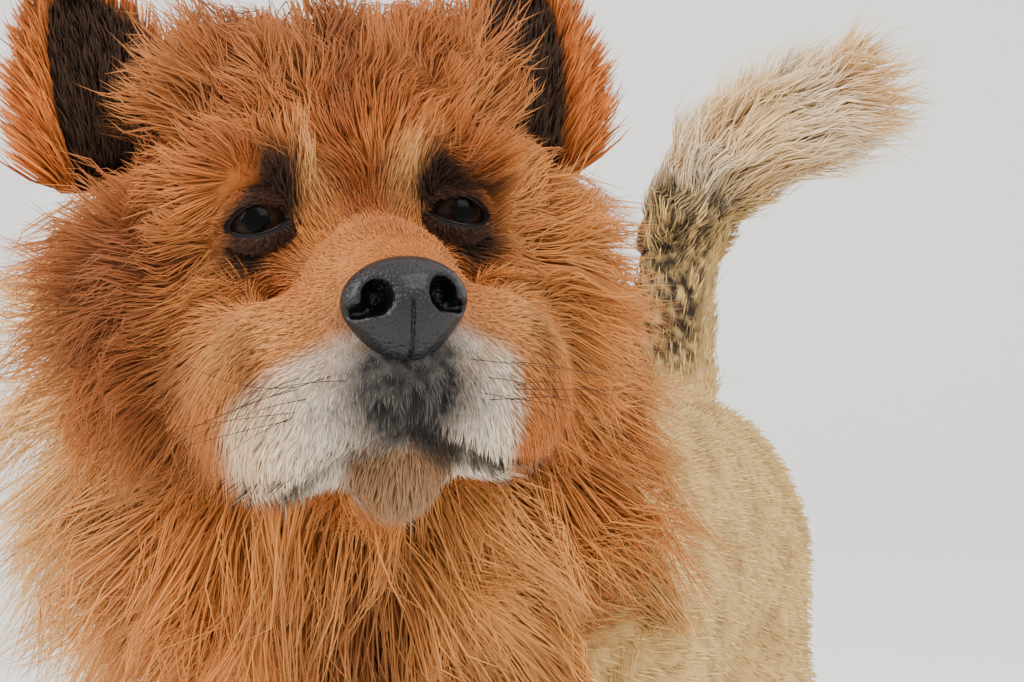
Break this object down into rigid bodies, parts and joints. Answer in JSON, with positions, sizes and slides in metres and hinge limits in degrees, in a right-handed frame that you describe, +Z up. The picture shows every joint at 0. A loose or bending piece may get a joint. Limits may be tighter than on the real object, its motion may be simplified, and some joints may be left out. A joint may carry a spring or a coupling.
{
  "type": "chow chow model",
  "caption": "Life-size standing chow chow in a lion clip: full rust mane, short clipped body and a plumed tail, its head turned a little to its left.",
  "frame": {"origin": "centre of the bounding box's bottom, level with the soles", "axes": "+Z up, -Y the way the dog faces, +X towards the dog's left"},
  "size_m": [0.3746, 0.7444, 0.7732],
  "materials": {
    "body_coat": "short clipped fur, matte",
    "mane_coat": "long soft fur, matte",
    "face_coat": "short dense fur, matte",
    "ear_coat": "short fur round a dark cup, matte",
    "plume_coat": "long soft fur, matte",
    "nose_leather": "pebbled and damp",
    "eye": "wet and glossy"
  },
  "bodies": {
    "root": {"torso": "body_coat", "foreleg_left": "body_coat", "foreleg_right": "body_coat", "hindleg_left": "body_coat", "hindleg_right": "body_coat", "forepaw_left": "body_coat", "forepaw_right": "body_coat", "hindpaw_left": "body_coat", "hindpaw_right": "body_coat", "neck": "mane_coat", "head": "face_coat", "ear_left": "ear_coat", "ear_right": "ear_coat", "tail": "body_coat", "tail_plume": "plume_coat", "nose": "nose_leather", "eye_left": "eye", "eye_right": "eye"}
  },
  "joints": []
}
